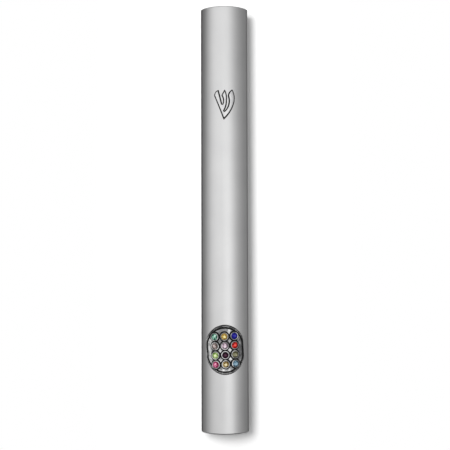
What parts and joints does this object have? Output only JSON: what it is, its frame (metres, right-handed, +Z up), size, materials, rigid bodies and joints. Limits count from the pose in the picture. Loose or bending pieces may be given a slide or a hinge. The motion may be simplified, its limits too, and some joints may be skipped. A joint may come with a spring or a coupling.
{
  "type": "mezuzah case",
  "caption": "Slim upright aluminium mezuzah case with a round front, a raised letter and a breastplate emblem of small coloured stones; it slides up off a screwed back plate.",
  "frame": {"origin": "middle of the back plate's rear face, on the doorpost", "axes": "+Z up along the case, -Y out of the front, +X to the right seen from the front"},
  "size_m": [0.0166, 0.0248, 0.15],
  "materials": {
    "satin_aluminium": "satin anodised, fine blasted grain",
    "plug_plastic": "moulded, fine texture",
    "plate_aluminium": "mill finish, lengthwise drawing lines",
    "screw_steel": "zinc plated",
    "parchment": "matt, slightly mottled skin",
    "bright_casting": "polished high points, darkened recesses",
    "glass_aqua_green": "polished facets, foil back",
    "glass_golden_yellow": "polished facets, foil back",
    "glass_royal_blue": "polished facets, foil back",
    "glass_smoky_mauve": "polished facets, foil back",
    "glass_pale_pink": "polished facets, foil back",
    "glass_bright_red": "polished facets, foil back",
    "glass_light_green": "polished facets, foil back",
    "glass_dark_purple": "polished facets, foil back",
    "glass_olive": "polished facets, foil back",
    "glass_rose_pink": "polished facets, foil back",
    "glass_topaz": "polished facets, foil back",
    "glass_light_blue": "polished facets, foil back"
  },
  "bodies": {
    "wall_mount": {"back_plate": "plate_aluminium", "mounting_screws": "screw_steel"},
    "case": {"front_shell": "satin_aluminium", "top_end_plug": "plug_plastic", "bottom_end_plug": "plug_plastic", "parchment_scroll": "parchment", "shin_letter": "bright_casting", "breastplate_setting": "bright_casting", "stone_row1_left": "glass_aqua_green", "stone_row1_middle": "glass_golden_yellow", "stone_row1_right": "glass_royal_blue", "stone_row2_left": "glass_smoky_mauve", "stone_row2_middle": "glass_pale_pink", "stone_row2_right": "glass_bright_red", "stone_row3_left": "glass_light_green", "stone_row3_middle": "glass_dark_purple", "stone_row3_right": "glass_olive", "stone_row4_left": "glass_rose_pink", "stone_row4_middle": "glass_topaz", "stone_row4_right": "glass_light_blue"}
  },
  "joints": [
    {"name": "case_slide", "type": "slide", "parent": "wall_mount", "child": "case", "axis": [0, 0, 1], "range_m": [0, 0.15]}
  ]
}
